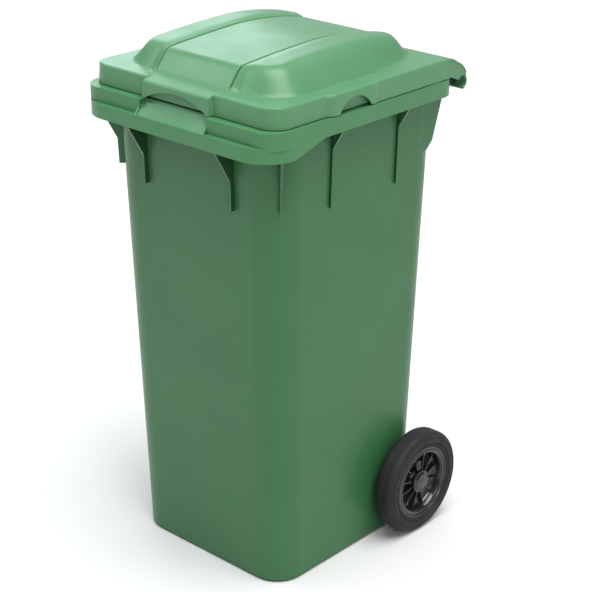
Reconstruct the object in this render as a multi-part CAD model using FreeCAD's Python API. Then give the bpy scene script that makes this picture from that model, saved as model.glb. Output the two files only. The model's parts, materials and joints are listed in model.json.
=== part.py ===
"""Two-wheeled refuse bin with a comb-lift rim, a domed hinged lid and a solid steel axle.

Millimetres. +Z is up, -Y is the front, +X is the bin's left-hand side as it looks forward.
The origin is the centre of the bounding box's bottom face, on the ground.
"""

import FreeCAD
import Part

import math
import os

Vector = FreeCAD.Vector

# ---- driving dimensions -------------------------------------------------------------------
WALL = 3.5                 # moulded wall of the container
FLOOR = 5.0                # container floor thickness
TUB_TOP = 893.0            # upper edge of the container, under the lid
BASE_HALF_WIDTH = 180.0
BASE_FRONT = -181.0
BASE_REAR = 198.0
BASE_CORNER = 55.0
SIDE_TAPER = 0.0229        # outward lean of each wall per mm of height
FRONT_TAPER = 0.0386
REAR_TAPER = 0.0243
CORNER_TAPER = 0.007
BASE_BEVEL = 6.0           # bevel round the bottom edge
HEEL_START = 50.0          # behind this the underside rises clear of the ground
HEEL_RISE = 14.0

COLLAR_HALF_WIDTH = 224.0
COLLAR_FRONT = -248.0
COLLAR_REAR = 227.0
COLLAR_CORNER = 42.0
COLLAR_BACK_FLAT = 220.5   # the collar is trimmed to this behind, where the lid swings past
COLLAR_BACK_HALF = 210.0
LEDGE_Z = 870.0            # top of the collar, just under the lid skirt
BAND_BOTTOM = 845.0        # bottom of the collar's upright band
LIP_FRONT = -258.0         # comb lip that a lifter's comb reaches behind
LIP_CORNER = 61.0
LIP_BOTTOM = 820.0
LIP_END = -112.0           # where the lip has run out along each side
LIP_LEVEL_END = -196.0     # where its lower edge starts to rise

RIB = 4.0                  # thickness of every stiffening rib
FRONT_RIB_X = 102.0
SIDE_RIB_Y = (-80.0, 90.0)
FRONT_RIB_FOOT = 710.0
SIDE_RIB_FOOT = 705.0
CORNER_RIB_FOOT = 720.0
FRONT_SHOULDER = 762.0       # where each rib starts to widen towards the collar
SIDE_SHOULDER = 808.0
CORNER_SHOULDER = 766.0
SIDE_REACH_Z = 838.0         # where the side ribs are widest
CORNER_REACH = 127.0         # reach of the front corner ribs, from the corner's axis at the base
REAR_FIN_ROOT = 148.0
REAR_FIN_FOOT = 744.0
REAR_FIN_Y = (178.0, 192.0, 216.0)

SCOOP_HALF_WIDTH = 77.0    # finger scoop in the middle of the collar's front
SCOOP_BACK = -234.0

POCKET_INNER = 86.0        # hand pockets in the rear wall, in front of the grip bars
POCKET_OUTER = 174.0
POCKET_FRONT = 194.0
POCKET_FLOOR = 800.0

HINGE_Y = 243.0            # lid hinge axis, which is also the axis of the grip bars
HINGE_Z = 857.0
GRIP_R = 14.0
BRACKET = 8.0              # thickness of the brackets that carry the grip bars
HINGE_PIN_R = 4.5
PIN_CLEARANCE = 0.06       # radial running clearance of pins and axle
EAR_R = 11.6
EAR = 9.0                  # thickness of the lid's hinge ears
EAR_GAP = 0.5

LID_HALF_FRONT = 214.6
LID_HALF_REAR = 219.4
LID_FRONT = -230.6
LID_REAR = 203.0
LID_CORNER = 36.0
LID_TOP = 906.0
LID_SKIRT = 875.0
LID_SHEET = 3.0
LID_STEP = -95.0           # the skirt stands further out behind this
LID_PANEL_FRONT = -240.0   # grip panel at the front of the lid
LID_LIP_R = 15.0           # outside radius of the lid's rear lip round the hinge axis
NOTCH_Y = 222.0            # the lid stops here above the grip bars
HUMP_TOP = 956.0
PANEL_TOP = 949.0
CREASE_X = 84.0            # side of the sunken middle panel

WHEEL_Y = 158.0
WHEEL_R = 100.0
WHEEL_X = 217.0            # middle plane of each wheel
TYRE_WIDTH = 42.0
TREAD_SHOULDER = 9.0
RIM_R = 72.0
RIM_WIDTH = 36.0
DISH_R = 57.0
SPOKES = 12
SPOKE = 2.4
HUB_R = 20.0
BUSH_R = 13.0
AXLE_R = 10.0
AXLE_END = 228.3
LATCH_X = 4.0              # latch plane, outward of the wheel's middle plane
LATCH_R = 2.4
GROOVE_R = 8.0
RECESS_HALF = 175.0        # axle recess across the back of the base


# ---- shape helpers ------------------------------------------------------------------------
def rounded_rectangle(half, front, rear, corner, z):
    """Closed wire of a rectangle with round corners, level at height z."""
    diagonal = corner * (1 - math.sqrt(0.5))
    edges = []
    ends = []
    for sx, sy in ((1, -1), (1, 1), (-1, 1), (-1, -1)):
        y_edge = rear if sy > 0 else front
        along_x = Vector(sx * (half - corner), y_edge, z)
        along_y = Vector(sx * half, y_edge - sy * corner, z)
        middle = Vector(sx * (half - diagonal), y_edge - sy * diagonal, z)
        first, last = (along_x, along_y) if sx * sy < 0 else (along_y, along_x)
        ends.append((first, middle, last))
    for i, (first, middle, last) in enumerate(ends):
        edges.append(Part.Arc(first, middle, last).toShape())
        edges.append(Part.LineSegment(last, ends[(i + 1) % 4][0]).toShape())
    return Part.Wire(edges)


def loft(*sections):
    """Solid through rounded rectangles given as (half, front, rear, corner, z)."""
    return Part.makeLoft([rounded_rectangle(*s) for s in sections], True, True)


def prism(half, front, rear, corner, low, high):
    face = Part.Face(rounded_rectangle(half, front, rear, corner, low))
    return face.extrude(Vector(0, 0, high - low))


def ring(half, front, rear, corner, wall, low, high):
    """Upright band: a prism with its inside removed."""
    inner = prism(half - wall, front + wall, rear - wall, corner - wall, low - 1, high + 1)
    return prism(half, front, rear, corner, low, high).cut(inner)


def box(x0, x1, y0, y1, z0, z1):
    return Part.makeBox(x1 - x0, y1 - y0, z1 - z0, Vector(x0, y0, z0))


def cylinder_x(r, x0, x1, y, z):
    return Part.makeCylinder(r, x1 - x0, Vector(x0, y, z), Vector(1, 0, 0))


def tube_x(r_out, r_in, x0, x1, y, z):
    return cylinder_x(r_out, x0, x1, y, z).cut(cylinder_x(r_in, x0 - 1, x1 + 1, y, z))


def plate_x(points, x0, x1):
    """Flat plate across X from its (y, z) outline."""
    corners = [Vector(x0, y, z) for y, z in points]
    face = Part.Face(Part.makePolygon(corners + corners[:1]))
    return face.extrude(Vector(x1 - x0, 0, 0))


def fuse(first, *others):
    return first.multiFuse(list(others)).removeSplitter()


def mirror(shape):
    return shape.mirror(Vector(0, 0, 0), Vector(1, 0, 0))


def one_solid(shape):
    """The only solid of a result, or an error that tells how many there are."""
    solids = shape.Solids
    if len(solids) != 1:
        raise ValueError("expected one solid, got %s" % [
            (round(s.Volume), [round(v) for v in (s.BoundBox.XMin, s.BoundBox.XMax, s.BoundBox.YMin,
             s.BoundBox.YMax, s.BoundBox.ZMin, s.BoundBox.ZMax)]) for s in solids])
    return solids[0]


def tub_section(z, inset=0.0):
    """The container's outline at height z, drawn in by inset."""
    return (
        BASE_HALF_WIDTH + SIDE_TAPER * z - inset,
        BASE_FRONT - FRONT_TAPER * z + inset,
        BASE_REAR + REAR_TAPER * z - inset,
        BASE_CORNER + CORNER_TAPER * z - inset,
        z,
    )


# ---- container ----------------------------------------------------------------------------
def recess_outline(grow=0.0):
    """Side outline of the recess that the axle crosses, low in the back of the container."""
    return [
        (128 - grow, -10),
        (128 - grow, 92 + grow),
        (150 - grow, 130 + grow),
        (222, 196 + grow),
        (260, 196 + grow),
        (260, -10),
    ]


def gusset(wall_at, foot, strip, shoulder, reach, reach_z, top_reach):
    """Outline (distance out, z) of a rib: a strip up the wall that widens to reach under the collar."""
    return [
        (wall_at(foot) - 2, foot),
        (wall_at(foot) + strip, foot),
        (wall_at(shoulder) + strip, shoulder),
        (reach, reach_z),
        (reach, BAND_BOTTOM - 1),
        (top_reach, BAND_BOTTOM - 0.9),
        (top_reach, LEDGE_Z - 2),
        (wall_at(LEDGE_Z) - 2, LEDGE_Z - 2),
    ]


def standing_rib(outline, direction_deg, origin):
    """Rib in the upright plane through origin along a compass direction (0 is +X, 90 is +Y)."""
    corners = [Vector(d, -RIB / 2, z) for d, z in outline]
    face = Part.Face(Part.makePolygon(corners + corners[:1]))
    rib = face.extrude(Vector(0, RIB, 0))
    rib.rotate(Vector(0, 0, 0), Vector(0, 0, 1), direction_deg)
    rib.translate(Vector(origin[0], origin[1], 0))
    return rib


def ribs():
    def front_wall(z):
        return -(BASE_FRONT - FRONT_TAPER * z)

    def side_wall(z):
        return BASE_HALF_WIDTH + SIDE_TAPER * z

    def corner_wall(z):
        lean = (SIDE_TAPER + FRONT_TAPER) / 2 - CORNER_TAPER
        return BASE_CORNER + CORNER_TAPER * z + lean * z * math.sqrt(2)

    made = []
    front = gusset(
        front_wall, FRONT_RIB_FOOT, 9.0, FRONT_SHOULDER, -LIP_FRONT - 2, LIP_BOTTOM + 3,
        -COLLAR_FRONT - 2,
    )
    for x in (-FRONT_RIB_X, FRONT_RIB_X):
        made.append(standing_rib(front, -90, (x, 0)))
    side = gusset(
        side_wall, SIDE_RIB_FOOT, 5.0, SIDE_SHOULDER, COLLAR_HALF_WIDTH - 2, SIDE_REACH_Z,
        COLLAR_HALF_WIDTH - 2.1,
    )
    for y in SIDE_RIB_Y:
        made.append(standing_rib(side, 0, (0, y)))
        made.append(standing_rib(side, 180, (0, y)))
    corner = gusset(
        corner_wall, CORNER_RIB_FOOT, 11.0, CORNER_SHOULDER, CORNER_REACH, LIP_BOTTOM + 3,
        CORNER_REACH - 0.1,
    )
    y = BASE_FRONT + BASE_CORNER
    half_at_foot = BASE_HALF_WIDTH - BASE_CORNER
    made.append(standing_rib(corner, -45, (half_at_foot, y)))
    made.append(standing_rib(corner, -135, (-half_at_foot, y)))
    return made


def rear_fin():
    """Plate that carries the side wall's plane on past the rear corner, under the collar."""
    outline = [
        (REAR_FIN_ROOT, REAR_FIN_FOOT),
        (REAR_FIN_Y[0], REAR_FIN_FOOT),
        (REAR_FIN_Y[1], REAR_FIN_FOOT + 14),
        (REAR_FIN_Y[2], BAND_BOTTOM - 4),
        (REAR_FIN_Y[2], LEDGE_Z - 2),
        (REAR_FIN_ROOT, LEDGE_Z - 2),
    ]
    corners = [Vector(BASE_HALF_WIDTH + SIDE_TAPER * z - 0.4, y, z) for y, z in outline]
    face = Part.Face(Part.makePolygon(corners + corners[:1]))
    return face.extrude(Vector(0.8 - WALL, 0, 0))


def lip_band():
    """The comb lip: a band in front of the collar that rises and runs out along each side."""
    band = ring(COLLAR_HALF_WIDTH, LIP_FRONT, 0, LIP_CORNER, WALL, LIP_BOTTOM, BAND_BOTTOM)
    roof = prism(COLLAR_HALF_WIDTH, LIP_FRONT, 0, LIP_CORNER, BAND_BOTTOM - WALL, BAND_BOTTOM)
    inside = prism(
        COLLAR_HALF_WIDTH - WALL, COLLAR_FRONT + WALL, 10, COLLAR_CORNER - WALL,
        LIP_BOTTOM - 10, BAND_BOTTOM + 10,
    )
    lip = band.fuse(roof.cut(inside))
    half = COLLAR_HALF_WIDTH + 5
    run_out = plate_x(
        [
            (LIP_LEVEL_END, LIP_BOTTOM - 5),
            (LIP_LEVEL_END, LIP_BOTTOM),
            (LIP_END, BAND_BOTTOM),
            (LIP_END, BAND_BOTTOM + 5),
            (20, BAND_BOTTOM + 5),
            (20, LIP_BOTTOM - 5),
        ],
        -half,
        half,
    )
    return lip.cut(run_out)


def collar(opening):
    """Rim round the container's top: a ledge with a band hanging from its outer edge."""
    band = ring(
        COLLAR_HALF_WIDTH, COLLAR_FRONT, COLLAR_REAR, COLLAR_CORNER, WALL,
        BAND_BOTTOM - WALL, LEDGE_Z,
    )
    ledge = prism(
        COLLAR_HALF_WIDTH, COLLAR_FRONT, COLLAR_REAR, COLLAR_CORNER, LEDGE_Z - WALL, LEDGE_Z,
    )
    return [band, ledge.cut(opening), lip_band()]


def scoop_outline(grow):
    return [
        (SCOOP_BACK + grow, LEDGE_Z + 5),
        (SCOOP_BACK + grow, LEDGE_Z - 3 - grow),
        (LIP_FRONT + 3 + grow, BAND_BOTTOM - grow),
        (LIP_FRONT - 3, BAND_BOTTOM - grow),
        (LIP_FRONT - 3, LEDGE_Z + 5),
    ]


def grips(side):
    """A grip bar with its two brackets, on one side of the back."""
    x0 = POCKET_INNER - BRACKET - 2
    x1 = POCKET_OUTER + BRACKET + 2
    spans = ((x0, x0 + BRACKET), (x1 - BRACKET, x1))
    pieces = [cylinder_x(GRIP_R, x0, x1, HINGE_Y, HINGE_Z)]
    arm = [
        (COLLAR_REAR - 12, HINGE_Z - GRIP_R),
        (HINGE_Y, HINGE_Z - GRIP_R),
        (HINGE_Y, LEDGE_Z),
        (COLLAR_REAR - 12, LEDGE_Z),
    ]
    for low, high in spans:
        pieces.append(plate_x(arm, low, high))
    return pieces if side > 0 else [mirror(p) for p in pieces]


def container():
    base = [
        tub_section(0, BASE_BEVEL * 0.8), tub_section(BASE_BEVEL), tub_section(TUB_TOP),
    ]
    base[0] = base[0][:4] + (0,)
    outer = loft(*base)
    inner = loft(tub_section(FLOOR, WALL), tub_section(TUB_TOP + 20, WALL))
    opening = loft(tub_section(BAND_BOTTOM - 30, WALL), tub_section(TUB_TOP + 20, WALL))

    recess = plate_x(recess_outline(), -RECESS_HALF, RECESS_HALF)
    recess_skin = plate_x(recess_outline(WALL), -RECESS_HALF - WALL, RECESS_HALF + WALL)
    heel = plate_x([(HEEL_START, 0), (HEEL_START, -9), (230, -9), (230, HEEL_RISE)], -250, 250)
    heel_skin = heel.copy()
    heel_skin.translate(Vector(0, 0, FLOOR))
    pockets = []
    pocket_skins = []
    for side in (-1, 1):
        low, high = sorted((side * POCKET_INNER, side * POCKET_OUTER))
        pocket = plate_x(
            [(POCKET_FRONT, POCKET_FLOOR + 25), (POCKET_FRONT, 990), (300, 990), (300, POCKET_FLOOR),
             (COLLAR_REAR - 12, POCKET_FLOOR)],
            low, high,
        )
        skin = plate_x(
            [(POCKET_FRONT - WALL, POCKET_FLOOR + 25 - WALL), (POCKET_FRONT - WALL, 990), (300, 990),
             (300, POCKET_FLOOR - WALL), (COLLAR_REAR - 12 - WALL, POCKET_FLOOR - WALL)],
            low - WALL, high + WALL,
        )
        pockets.append(pocket)
        pocket_skins.append(skin)

    cavity = inner.cut(recess_skin).cut(heel_skin).cut(pocket_skins[0]).cut(pocket_skins[1])
    opening = opening.cut(pocket_skins[0]).cut(pocket_skins[1])

    scoop = plate_x(scoop_outline(0), -SCOOP_HALF_WIDTH, SCOOP_HALF_WIDTH)
    scoop_skin = plate_x(
        [
            (SCOOP_BACK - 2, LEDGE_Z),
            (LIP_FRONT + 1, BAND_BOTTOM),
            (LIP_FRONT + 1, BAND_BOTTOM - WALL),
            (SCOOP_BACK + WALL, LEDGE_Z - 8),
            (SCOOP_BACK + WALL, LEDGE_Z),
        ],
        -SCOOP_HALF_WIDTH - WALL, SCOOP_HALF_WIDTH + WALL,
    )

    fins = [rear_fin(), mirror(rear_fin())]
    body = outer.multiFuse(collar(opening) + ribs() + fins + [scoop_skin] + grips(-1) + grips(1))
    back_trim = box(
        -COLLAR_BACK_HALF, COLLAR_BACK_HALF, COLLAR_BACK_FLAT, 300, BAND_BOTTOM - 10, LEDGE_Z + 5,
    )
    body = body.cut(cavity)
    for tool in (back_trim, recess, heel, scoop, pockets[0], pockets[1]):
        body = body.cut(tool)
    keep = []
    for side in (-1, 1):
        keep.extend(grips(side))
    body = body.multiFuse(keep)

    # axle housings: a boss through each cheek and two webs across the recess
    housings = []
    web = [(125, 60), (125, 94), (148, 133), (186, 166), (184, 92), (170, 70)]
    for side in (-1, 1):
        low, high = sorted((side * (RECESS_HALF - 8), side * 189.0))
        housings.append(cylinder_x(17, low, high, WHEEL_Y, 100))
        low, high = sorted((side * 56, side * 64))
        housings.append(plate_x(web, low, high))
        housings.append(cylinder_x(17, low - 4, high + 4, WHEEL_Y, 100))
    body = body.multiFuse(housings)
    bore_r = AXLE_R + PIN_CLEARANCE
    body = body.cut(cylinder_x(bore_r, -250, 250, WHEEL_Y, 100))
    body = body.cut(cylinder_x(HINGE_PIN_R + PIN_CLEARANCE, -230, -60, HINGE_Y, HINGE_Z))
    body = body.cut(cylinder_x(HINGE_PIN_R + PIN_CLEARANCE, 60, 230, HINGE_Y, HINGE_Z))
    return one_solid(body.removeSplitter())


# ---- lid ----------------------------------------------------------------------------------
def arch_cutter(half_span, rise, along, depth0, depth1):
    """Flat-bottomed arch opening in a skirt; along is its middle, depth runs outward."""
    left = Vector(-half_span, 0, LID_SKIRT - 2)
    shoulder = Vector(-half_span, 0, LID_SKIRT + 1)
    top = Vector(0, 0, LID_SKIRT + rise)
    right_shoulder = Vector(half_span, 0, LID_SKIRT + 1)
    right = Vector(half_span, 0, LID_SKIRT - 2)
    wire = Part.Wire([
        Part.LineSegment(left, shoulder).toShape(),
        Part.Arc(shoulder, top, right_shoulder).toShape(),
        Part.LineSegment(right_shoulder, right).toShape(),
        Part.LineSegment(right, left).toShape(),
    ])
    cutter = Part.Face(wire).extrude(Vector(0, depth0 - depth1, 0))
    cutter.translate(Vector(along, -depth0, 0))
    return cutter


def hump(inset, top_drop):
    """Raised middle of the lid: two ridges with a sunken panel between them."""
    foot = LID_TOP - LID_SHEET - 1

    def mound(half, front, rear, top_half, top_front, top_rear, corner, top):
        return loft(
            (half - inset, front + inset, rear - inset, corner - inset, foot),
            (top_half - inset + 6, top_front + inset - 10, top_rear - inset + 12, corner - inset,
             top - top_drop - 12),
            (top_half - inset - 8, top_front + inset + 6, top_rear - inset - 4, corner - inset - 6,
             top - top_drop),
        )

    whole = mound(181, -192, 199, 152, -158, 140, 44, HUMP_TOP)
    trench = plate_x(
        [(-300, PANEL_TOP - top_drop - 34), (-192, PANEL_TOP - top_drop - 20),
         (-160, PANEL_TOP - top_drop), (110, PANEL_TOP - top_drop), (210, 905 - top_drop),
         (210, 1000), (-300, 1000)],
        -CREASE_X - inset, CREASE_X + inset,
    )
    panel = loft(
        (CREASE_X - inset, -209 + inset, 120 - inset, 8, foot),
        (CREASE_X - inset, -172 + inset, 100 - inset, 8, PANEL_TOP - top_drop),
    )
    return whole.cut(trench).fuse(panel)


def rear_lip():
    """Round lip that wraps over the hinge axis, with the flat that leads to it."""
    r_out = LID_LIP_R
    r_in = LID_LIP_R - LID_SHEET
    half = LID_HALF_REAR
    body = plate_x(
        [
            (LID_REAR - 6, LID_TOP),
            (LID_REAR + 18, LID_TOP - 6),
            (HINGE_Y - 3, HINGE_Z + 34),
            (HINGE_Y + r_out, HINGE_Z + 16),
            (HINGE_Y + r_out, HINGE_Z - 2),
            (HINGE_Y + 6, HINGE_Z - 13),
            (HINGE_Y, HINGE_Z),
            (HINGE_Y - r_in, HINGE_Z + 4),
            (HINGE_Y - r_in, LID_SKIRT - 1),
            (LID_REAR - 6, LID_SKIRT - 1),
        ],
        -half, half,
    )
    hollow = plate_x(
        [
            (LID_REAR - 30, LID_TOP - LID_SHEET),
            (LID_REAR + 16, LID_TOP - 6 - LID_SHEET),
            (HINGE_Y - 4, HINGE_Z + 34 - LID_SHEET),
            (HINGE_Y + r_in - 2, HINGE_Z + 14),
            (HINGE_Y, HINGE_Z),
            (HINGE_Y - r_in, HINGE_Z - 20),
            (LID_REAR - 30, HINGE_Z - 20),
        ],
        -half + LID_SHEET, half - LID_SHEET,
    )
    bore = cylinder_x(r_in, -half - 1, half + 1, HINGE_Y, HINGE_Z)
    return body.cut(hollow).cut(bore)


def ear_spans():
    """X ranges of the two hinge ears on the +X side of the lid, inner then outer."""
    inner = POCKET_INNER - BRACKET - 2 - EAR_GAP
    outer = POCKET_OUTER + BRACKET + 2 + EAR_GAP
    return ((inner - EAR, inner), (outer, outer + EAR))


def lid_ears():
    made = []
    web = [
        (HINGE_Y - EAR_R + 1, HINGE_Z),
        (HINGE_Y - EAR_R + 1, HINGE_Z + 36),
        (HINGE_Y - 3, HINGE_Z + 33),
        (HINGE_Y + EAR_R, HINGE_Z + 17),
        (HINGE_Y + EAR_R, HINGE_Z),
    ]
    for low, high in ear_spans():
        made.append(plate_x(web, low, high))
        made.append(cylinder_x(LID_LIP_R - LID_SHEET + 0.5, low, high, HINGE_Y, HINGE_Z))
    return made + [mirror(m) for m in made]


def lid():
    foot = LID_SKIRT
    front_skirt = prism(LID_HALF_FRONT, LID_FRONT, LID_REAR, LID_CORNER, foot, LID_TOP)
    rear_skirt = prism(LID_HALF_REAR, LID_STEP, LID_REAR, 8, foot, LID_TOP)
    side_panel = [
        box(s * (LID_HALF_REAR + 3) - (3 if s > 0 else 0), s * (LID_HALF_REAR + 3) + (0 if s > 0 else 3),
            -83, 24, foot, LID_TOP - 3)
        for s in (-1, 1)
    ]
    front_panel = plate_x(
        [(LID_FRONT + 8, foot), (LID_PANEL_FRONT, foot), (LID_PANEL_FRONT, LID_TOP - 6),
         (LID_FRONT + 8, LID_TOP)],
        -SCOOP_HALF_WIDTH, SCOOP_HALF_WIDTH,
    )
    inside_half = LID_HALF_REAR - LID_SHEET
    skirt_inside = prism(
        LID_HALF_FRONT - LID_SHEET, LID_FRONT + LID_SHEET, 120, LID_CORNER - LID_SHEET,
        foot - 5, LID_TOP - LID_SHEET,
    )
    skirt_inside = skirt_inside.fuse(
        box(-inside_half, inside_half, 40, LID_REAR + 1, foot - 5, LID_TOP - LID_SHEET)
    )
    shell = front_skirt.multiFuse([rear_skirt, front_panel, hump(0, 0)] + side_panel)
    shell = shell.cut(arch_cutter(73, 20, 0, -LID_PANEL_FRONT + 2, -LID_FRONT))
    for side in (-1, 1):
        cutter = arch_cutter(44, 21, 0, LID_HALF_REAR + 6, LID_HALF_FRONT)
        cutter.rotate(Vector(0, 0, 0), Vector(0, 0, 1), 90 * side)
        cutter.translate(Vector(0, -24, 0))
        shell = shell.cut(cutter)
    shell = shell.fuse(rear_lip())
    shell = shell.cut(skirt_inside).cut(hump(LID_SHEET, LID_SHEET))
    notch_low = POCKET_INNER - BRACKET - 3
    notch_high = POCKET_OUTER + BRACKET + 3
    for side in (-1, 1):
        low, high = sorted((side * notch_low, side * notch_high))
        shell = shell.cut(box(low, high, NOTCH_Y, 300, 700, 1000))
    shell = shell.multiFuse(lid_ears())
    for low, high in ((-230, -60), (60, 230)):
        shell = shell.cut(cylinder_x(HINGE_PIN_R + PIN_CLEARANCE, low, high, HINGE_Y, HINGE_Z))
    return one_solid(shell.removeSplitter())


# ---- hinge pins ---------------------------------------------------------------------------
def hinge_pin(side):
    inner_ear, outer_ear = ear_spans()
    tip = inner_ear[0] - 9
    end = outer_ear[1] + 0.6
    pin = cylinder_x(HINGE_PIN_R, tip, end + 1, HINGE_Y, HINGE_Z)
    head = cylinder_x(9.0, end, end + 4, HINGE_Y, HINGE_Z)
    groove = tube_x(HINGE_PIN_R + 1, HINGE_PIN_R - 1, tip + 3, tip + 5.4, HINGE_Y, HINGE_Z)
    pin = one_solid(fuse(pin, head).cut(groove))
    return pin if side > 0 else mirror(pin)


def hinge_clip(side):
    """Open spring clip in the groove at the inner end of a hinge pin."""
    tip = ear_spans()[0][0] - 9
    clip = tube_x(8.5, HINGE_PIN_R - 1, tip + 3.2, tip + 5.2, HINGE_Y, HINGE_Z)
    mouth = box(tip, tip + 9, HINGE_Y - 2.6, HINGE_Y + 2.6, HINGE_Z - 12, HINGE_Z)
    clip = one_solid(clip.cut(mouth))
    return clip if side > 0 else mirror(clip)


# ---- running gear -------------------------------------------------------------------------
def axle():
    bar = cylinder_x(AXLE_R, -AXLE_END, AXLE_END, WHEEL_Y, WHEEL_R)
    for side in (-1, 1):
        middle = side * (WHEEL_X + LATCH_X)
        low, high = middle - LATCH_R - 0.4, middle + LATCH_R + 0.4
        bar = bar.cut(tube_x(AXLE_R + 2, GROOVE_R, low, high, WHEEL_Y, WHEEL_R))
    return one_solid(bar)


def wheel_tube(r_out, r_in, low, high):
    """Ring on the +X wheel, with low and high measured from its middle plane."""
    return tube_x(r_out, r_in, WHEEL_X + low, WHEEL_X + high, WHEEL_Y, WHEEL_R)


def turned(profile):
    """Solid of revolution on the +X wheel from (offset from the middle plane, radius) points."""
    points = [Vector(WHEEL_X + along, WHEEL_Y, WHEEL_R + r) for along, r in profile]
    face = Part.Face(Part.makePolygon(points + points[:1]))
    return face.revolve(Vector(0, WHEEL_Y, WHEEL_R), Vector(1, 0, 0), 360)


def tyre():
    half = TYRE_WIDTH / 2
    shoulder = TREAD_SHOULDER
    profile = [
        (-half + 1, RIM_R),
        (-half, RIM_R + 4),
        (-half, WHEEL_R - shoulder),
        (-half + shoulder * 0.35, WHEEL_R - shoulder * 0.3),
        (-half + shoulder, WHEEL_R),
        (half - shoulder, WHEEL_R),
        (half - shoulder * 0.35, WHEEL_R - shoulder * 0.3),
        (half, WHEEL_R - shoulder),
        (half, RIM_R + 4),
        (half - 1, RIM_R),
    ]
    return one_solid(turned(profile))


def spokes(low, high, r_low, r_high):
    made = []
    for i in range(SPOKES):
        spoke = box(
            WHEEL_X + low, WHEEL_X + high, WHEEL_Y - SPOKE / 2, WHEEL_Y + SPOKE / 2,
            WHEEL_R + r_low, WHEEL_R + r_high,
        )
        turn = 360.0 * (i + 0.5) / SPOKES
        spoke.rotate(Vector(0, WHEEL_Y, WHEEL_R), Vector(1, 0, 0), turn)
        made.append(spoke)
    return made


def rim():
    half = RIM_WIDTH / 2
    dish = turned([
        (-half, RIM_R), (-half, RIM_R - 3), (half - 7, RIM_R - 3), (half - 4, DISH_R + 4),
        (half - 5, DISH_R), (-1, DISH_R - 3), (-1, HUB_R - 2), (2, HUB_R - 2), (2, DISH_R - 6),
        (half - 2, DISH_R - 3), (half, DISH_R + 1), (half - 1, RIM_R - 6), (half, RIM_R),
    ])
    hub = wheel_tube(HUB_R, BUSH_R, -half, half - 6)
    latch_boss = Part.makeCylinder(
        6.0, 28.0, Vector(WHEEL_X + LATCH_X, WHEEL_Y, WHEEL_R + 15), Vector(0, 0, 1)
    )
    whole = fuse(dish, hub, latch_boss, *(spokes(0, half - 8, HUB_R - 1, DISH_R - 3)
                                           + spokes(-half, 0, HUB_R - 1, RIM_R - 2)))
    whole = whole.cut(cylinder_x(BUSH_R, WHEEL_X - 30, WHEEL_X + 30, WHEEL_Y, WHEEL_R))
    whole = whole.cut(latch_bore(0.05))
    return one_solid(whole.removeSplitter())


def latch_bore(clearance):
    """Stepped radial hole for the latch pin and its spring."""
    centre = Vector(WHEEL_X + LATCH_X, WHEEL_Y, WHEEL_R + 5)
    narrow = Part.makeCylinder(LATCH_R + clearance, 20, centre, Vector(0, 0, 1))
    wide = Part.makeCylinder(
        LATCH_R + 1.6 + clearance, 16.5, centre + Vector(0, 0, 18.5), Vector(0, 0, 1)
    )
    return narrow.fuse(wide)


def bush():
    sleeve = wheel_tube(BUSH_R, AXLE_R + PIN_CLEARANCE, -RIM_WIDTH / 2, RIM_WIDTH / 2 - 6)
    return one_solid(sleeve.cut(latch_bore(0.05)))


def latch_pin():
    base = Vector(WHEEL_X + LATCH_X, WHEEL_Y, WHEEL_R + GROOVE_R + 0.3)
    shaft = Part.makeCylinder(LATCH_R, 15.5, base, Vector(0, 0, 1))
    collar_z = WHEEL_R + 23.7
    head = Part.makeCylinder(
        LATCH_R + 1.3, 2.0, Vector(base.x, base.y, collar_z), Vector(0, 0, 1)
    )
    return one_solid(fuse(shaft, head))


def latch_spring():
    """Short coil between the latch pin's head and the end of its bore."""
    low = WHEEL_R + 25.9
    helix = Part.makeHelix(2.2, 13.0 - 0.9, 2.9)
    start = Part.Wire(Part.makeCircle(0.4, Vector(2.9, 0, 0), Vector(0, 1, 0)))
    coil = Part.Wire(helix).makePipeShell([start], True, True)
    coil.translate(Vector(WHEEL_X + LATCH_X, WHEEL_Y, low + 0.45))
    return one_solid(coil)


def hub_cap():
    """Push-in cover over the outer end of the hub."""
    outer = RIM_WIDTH / 2 - 6
    dome = turned([
        (outer, 0), (outer, HUB_R), (outer + 2, HUB_R), (outer + 5, HUB_R - 5), (outer + 6, 0),
    ])
    skirt = wheel_tube(HUB_R + 1.6, HUB_R, outer - 1.5, outer + 2)
    return one_solid(fuse(dome, skirt))


def washer():
    """Spacer ring between a housing and the wheel's hub."""
    return one_solid(tube_x(17, AXLE_R, 189.6, WHEEL_X - RIM_WIDTH / 2 - 0.5, WHEEL_Y, WHEEL_R))


# ---- write one file per piece -------------------------------------------------------------
def main():
    os.makedirs("parts", exist_ok=True)
    pieces = {"lid": lid(), "container": container(), "axle": axle()}
    paired = {
        "tyre": tyre(),
        "wheel_rim": rim(),
        "hub_bush": bush(),
        "hub_cap": hub_cap(),
        "axle_washer": washer(),
        "latch_pin": latch_pin(),
        "latch_spring": latch_spring(),
        "hinge_pin": hinge_pin(1),
        "hinge_clip": hinge_clip(1),
    }
    for name, shape in paired.items():
        pieces[name + "_left"] = shape
        pieces[name + "_right"] = mirror(shape)
    for name, shape in pieces.items():
        if not shape.isValid():
            print("not valid:", name)
        shape.exportStep("parts/%s.step" % name)
        low, high = shape.BoundBox, shape.Volume
        print("%-20s %7.1f cm3  x %.1f..%.1f  y %.1f..%.1f  z %.1f..%.1f" % (
            name, high / 1000, low.XMin, low.XMax, low.YMin, low.YMax, low.ZMin, low.ZMax))


main()
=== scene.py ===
import json
import math

import bmesh
import bpy
from mathutils import Matrix, Vector


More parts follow.
